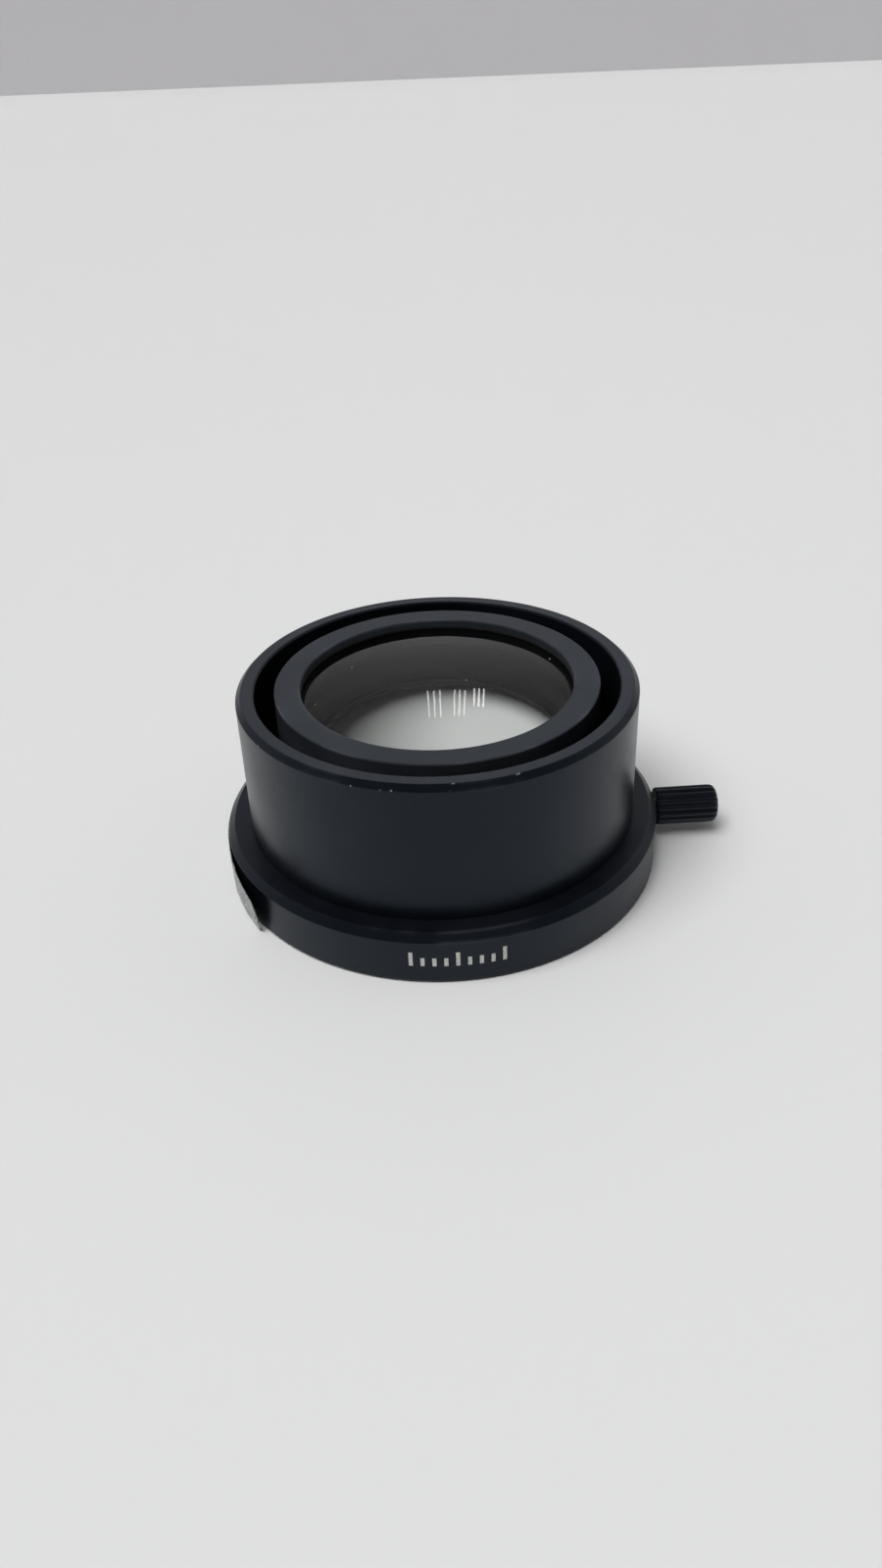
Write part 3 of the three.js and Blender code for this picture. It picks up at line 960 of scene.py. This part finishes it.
def knob_radius(r, x, angle):
    """Cuts narrow flutes along the knob's side, fading out on its end faces."""
    share = min(1, max(0, (r - (KNOB_R - KNOB_ROUND)) / KNOB_ROUND))
    valley = (1 - math.cos(KNOB_FLUTES * angle)) / 2
    return r - KNOB_FLUTE_DEPTH * valley**FLUTE_SHARPNESS * share


def make_knob():
    """The fluted knob, with a blind hole for the stud's end."""
    hole_end = STUD_HIGH.x + FIT / 2
    corners = [
        (KNOB_R - KNOB_BEVEL, KNOB_LOW.x, 0.1),
        (KNOB_R, KNOB_LOW.x + KNOB_BEVEL, 0.1),
        (KNOB_R, KNOB_HIGH.x, KNOB_ROUND),
        (0, KNOB_HIGH.x, 0),
        (0, hole_end, 0),
        (THREAD_BORE_R, hole_end, 0),
        (THREAD_BORE_R, KNOB_LOW.x, 0.1),
    ]
    outline = softened(corners)
    on_axis = [i for i, point in enumerate(outline) if point.x < NEARLY_ZERO]
    first = on_axis[-1]
    outline = [*outline[first:], *outline[:first]]
    clamp_piece("clamp_knob_fine", outline, KNOB_FINISH, ["clamp_knob"], "clamp_screw",
                shape=knob_radius)


def thread_radius(r, x, angle):
    """Cuts a helical V groove along the stud, running out near its shoulder and its end."""
    if r < STUD_R - NEARLY_ZERO:
        return r
    phase = (x / THREAD_PITCH + angle / (2 * math.pi)) % 1
    groove = 1 - abs(2 * phase - 1)
    run_out = min(1, (x - STUD_SHOULDER_X) / THREAD_PITCH, (STUD_HIGH.x - x) / THREAD_PITCH)
    return r - THREAD_DEPTH * groove * max(0, run_out)


def make_stud():
    """The threaded stud, with the thin tip that turns inside the pad."""
    length = STUD_HIGH.x - STUD_SHOULDER_X
    count = round(length / THREAD_PITCH * THREAD_STEPS)
    outline = [
        Vector((0, STUD_LOW.x)),
        Vector((STUD_TIP_R, STUD_LOW.x)),
        Vector((STUD_TIP_R, STUD_SHOULDER_X)),
    ]
    for i in range(count + 1):
        outline.append(Vector((STUD_R, STUD_SHOULDER_X + length * i / count)))
    outline.append(Vector((0, STUD_HIGH.x)))
    clamp_piece("clamp_stud_fine", outline, STUD_STEEL, ["clamp_stud"], "clamp_screw",
                shape=thread_radius)


def make_bush_and_pad():
    """The brass bush that the stud turns in, and the nylon pad on the stud's tip."""
    bush = [
        (BUSH_R, BUSH_LOW.x, 0.1),
        (BUSH_R, BUSH_HIGH.x, 0.15),
        (THREAD_BORE_R, BUSH_HIGH.x, 0.12),
        (THREAD_BORE_R, BUSH_LOW.x, 0.12),
    ]
    clamp_piece("clamp_bush_fine", softened(bush), BRASS, ["clamp_bush"], "housing", ring=True)
    pad = [
        (PAD_R, PAD_LOW.x, 0.25),
        (PAD_R, PAD_HIGH.x, 0.15),
        (PAD_HOLE_R, PAD_HIGH.x, 0.08),
        (PAD_HOLE_R, STUD_LOW.x - FIT, 0),
    ]
    clamp_piece("pressure_pad_fine", softened_solid(pad), NYLON, ["pressure_pad"],
                "pad_carrier")


make_flange()
make_barrel()
make_cell()
make_screws()
make_label()
make_index_marks()
make_glass()
make_inner_rings()
make_knob()
make_stud()
make_bush_and_pad()

# ---- stage ----
WALL_DISTANCE = 3.3
FLOOR_SIZE = 2 * WALL_DISTANCE
WALL_SIZE = 12.0
FLOOR_COLOR = (0.72, 0.722, 0.722)
WALL_COLOR = (0.74, 0.725, 0.745)


def stage_plane(name, size, place, tilt, material):
    """A square of the stage, tilted about X."""
    mesh = bmesh.new()
    bmesh.ops.create_grid(mesh, x_segments=1, y_segments=1, size=size / 2)
    plane = bare_object(mesh, name)
    plane.location = place
    plane.rotation_euler = (tilt, 0, 0)
    plane.data.materials.append(material)


def plain_surface(name, color):
    """A pale surface with a very faint clouding."""
    cloud_scale, clouded_share = 3.0, 0.985
    nodes = Nodes(name)
    cloud = nodes.noise(nodes.place, cloud_scale, detail=2.0)
    nodes.set_color(nodes.mix(cloud, tuple(c * clouded_share for c in color), color))
    nodes.shader.inputs["Roughness"].default_value = 0.55
    nodes.shader.inputs["Specular IOR Level"].default_value = 0.3
    return nodes.material


stage_plane("floor", FLOOR_SIZE, (0, 0, 0), 0, plain_surface("pale_floor", FLOOR_COLOR))
stage_plane("backdrop", WALL_SIZE, (0, WALL_DISTANCE, 0), math.pi / 2,
            plain_surface("grey_wall", WALL_COLOR))

# ---- light ----
SUN_STRENGTH = 2.75
SUN_SPREAD = math.radians(40)
SUN_AZIMUTH = -126
SUN_ELEVATION = 66
LAMP_REACH = 2.2
LAMP_TUBES = 3
TUBE_WIDTH = 0.007
TUBE_POWER = 0.036
ROOM_COLOR = (0.95, 0.955, 0.96, 1)
ROOM_BEFORE, ROOM_BEHIND = -0.6, 0.9
ROOM_DIM, ROOM_BRIGHT = 0.1, 0.64
# Each ceiling lamp: the (azimuth, elevation) of its two ends, and the gap between its tubes.
CEILING_LAMPS = {
    "lamp_left": (((1.5, 40), (1.5, 32.5)), 0.027),
    "lamp_middle": (((5.3, 39.7), (5.1, 32.3)), 0.023),
    "lamp_right": (((8.1, 37), (7.7, 31.8)), 0.021),
}


def link_light(name, lamp, matrix, mirrored=True):
    """Places a lamp that isn't seen through the glass. mirrored says if glossy surfaces show it."""
    holder = bpy.data.objects.new(name, lamp)
    holder.matrix_world = matrix
    holder.visible_glossy = mirrored
    holder.visible_transmission = False
    bpy.context.scene.collection.objects.link(holder)


def direction(azimuth, elevation):
    """A unit vector: azimuth in degrees from +Y towards +X, elevation in degrees above the floor."""
    turn, rise = math.radians(azimuth), math.radians(elevation)
    return Vector((math.cos(rise) * math.sin(turn), math.cos(rise) * math.cos(turn), math.sin(rise)))


def make_soft_sun():
    """The soft main light, from above, a little to the left and towards the viewer."""
    lamp = bpy.data.lights.new("main_light", "SUN")
    lamp.energy = SUN_STRENGTH
    lamp.angle = SUN_SPREAD
    toward = direction(SUN_AZIMUTH, SUN_ELEVATION)
    link_light("main_light", lamp, toward.to_track_quat("Z", "Y").to_matrix().to_4x4(), mirrored=False)


def make_ceiling_lamp(name, ends, gap):
    """Three parallel tubes, seen from the lens between two directions: what its front mirrors."""
    near, far = (direction(*end) * LAMP_REACH for end in ends)
    along = (far - near).normalized()
    middle = (near + far) / 2
    away = (middle - along * middle.dot(along)).normalized()
    across = along.cross(away)
    for tube in range(LAMP_TUBES):
        lamp = bpy.data.lights.new(f"{name}_{tube}", "AREA")
        lamp.shape = "RECTANGLE"
        lamp.size = TUBE_WIDTH
        lamp.size_y = (far - near).length
        lamp.energy = TUBE_POWER
        matrix = Matrix((across, along, away)).transposed().to_4x4()
        matrix.translation = middle + across * gap * (tube - LAMP_TUBES // 2)
        link_light(f"{name}_{tube}", lamp, matrix)


def make_world():
    """Soft room light, brighter from behind the object than from in front of it."""
    world = bpy.data.worlds.new("soft_room")
    bpy.context.scene.world = world
    world.use_nodes = True
    tree = world.node_tree
    background = tree.nodes["Background"]
    background.inputs["Color"].default_value = ROOM_COLOR
    view = tree.nodes.new("ShaderNodeTexCoord")
    split = tree.nodes.new("ShaderNodeSeparateXYZ")
    tree.links.new(view.outputs["Generated"], split.inputs[0])
    strength = tree.nodes.new("ShaderNodeMapRange")
    strength.interpolation_type = "SMOOTHSTEP"
    tree.links.new(split.outputs["Y"], strength.inputs["Value"])
    strength.inputs["From Min"].default_value = ROOM_BEFORE
    strength.inputs["From Max"].default_value = ROOM_BEHIND
    strength.inputs["To Min"].default_value = ROOM_DIM
    strength.inputs["To Max"].default_value = ROOM_BRIGHT
    tree.links.new(strength.outputs["Result"], background.inputs["Strength"])


make_world()
make_soft_sun()
for lamp_name, (lamp_ends, tube_gap) in CEILING_LAMPS.items():
    make_ceiling_lamp(lamp_name, lamp_ends, tube_gap)

# ---- camera ----
CAMERA_DISTANCE = 6.40 * BARREL_R * MM
CAMERA_ELEVATION = math.radians(35.72)
CAMERA_AZIMUTH = math.radians(-2)
CAMERA_TILT = math.radians(2.79)
CAMERA_ROLL = math.radians(-2.26)
SENSOR_LONG_SIDE = 36
FOCAL_LENGTH = 27
NEAREST_SEEN = 0.01


def make_camera():
    """Stands in front of the lens, looks a little above the origin and leans slightly."""
    data = bpy.data.cameras.new("front_camera")
    data.sensor_width = SENSOR_LONG_SIDE
    data.lens = FOCAL_LENGTH
    data.clip_start = NEAREST_SEEN
    camera = bpy.data.objects.new("front_camera", data)
    level = math.cos(CAMERA_ELEVATION)
    place = Vector((0, -CAMERA_DISTANCE * level, CAMERA_DISTANCE * math.sin(CAMERA_ELEVATION)))
    turn = Matrix.Rotation(CAMERA_AZIMUTH, 4, "Z")
    pitch = Matrix.Rotation(math.pi / 2 - CAMERA_ELEVATION + CAMERA_TILT, 4, "X")
    roll = Matrix.Rotation(CAMERA_ROLL, 4, "Z")
    camera.matrix_world = turn @ Matrix.Translation(place) @ pitch @ roll
    bpy.context.scene.collection.objects.link(camera)
    bpy.context.scene.camera = camera


make_camera()
bpy.context.scene.view_settings.view_transform = "Standard"
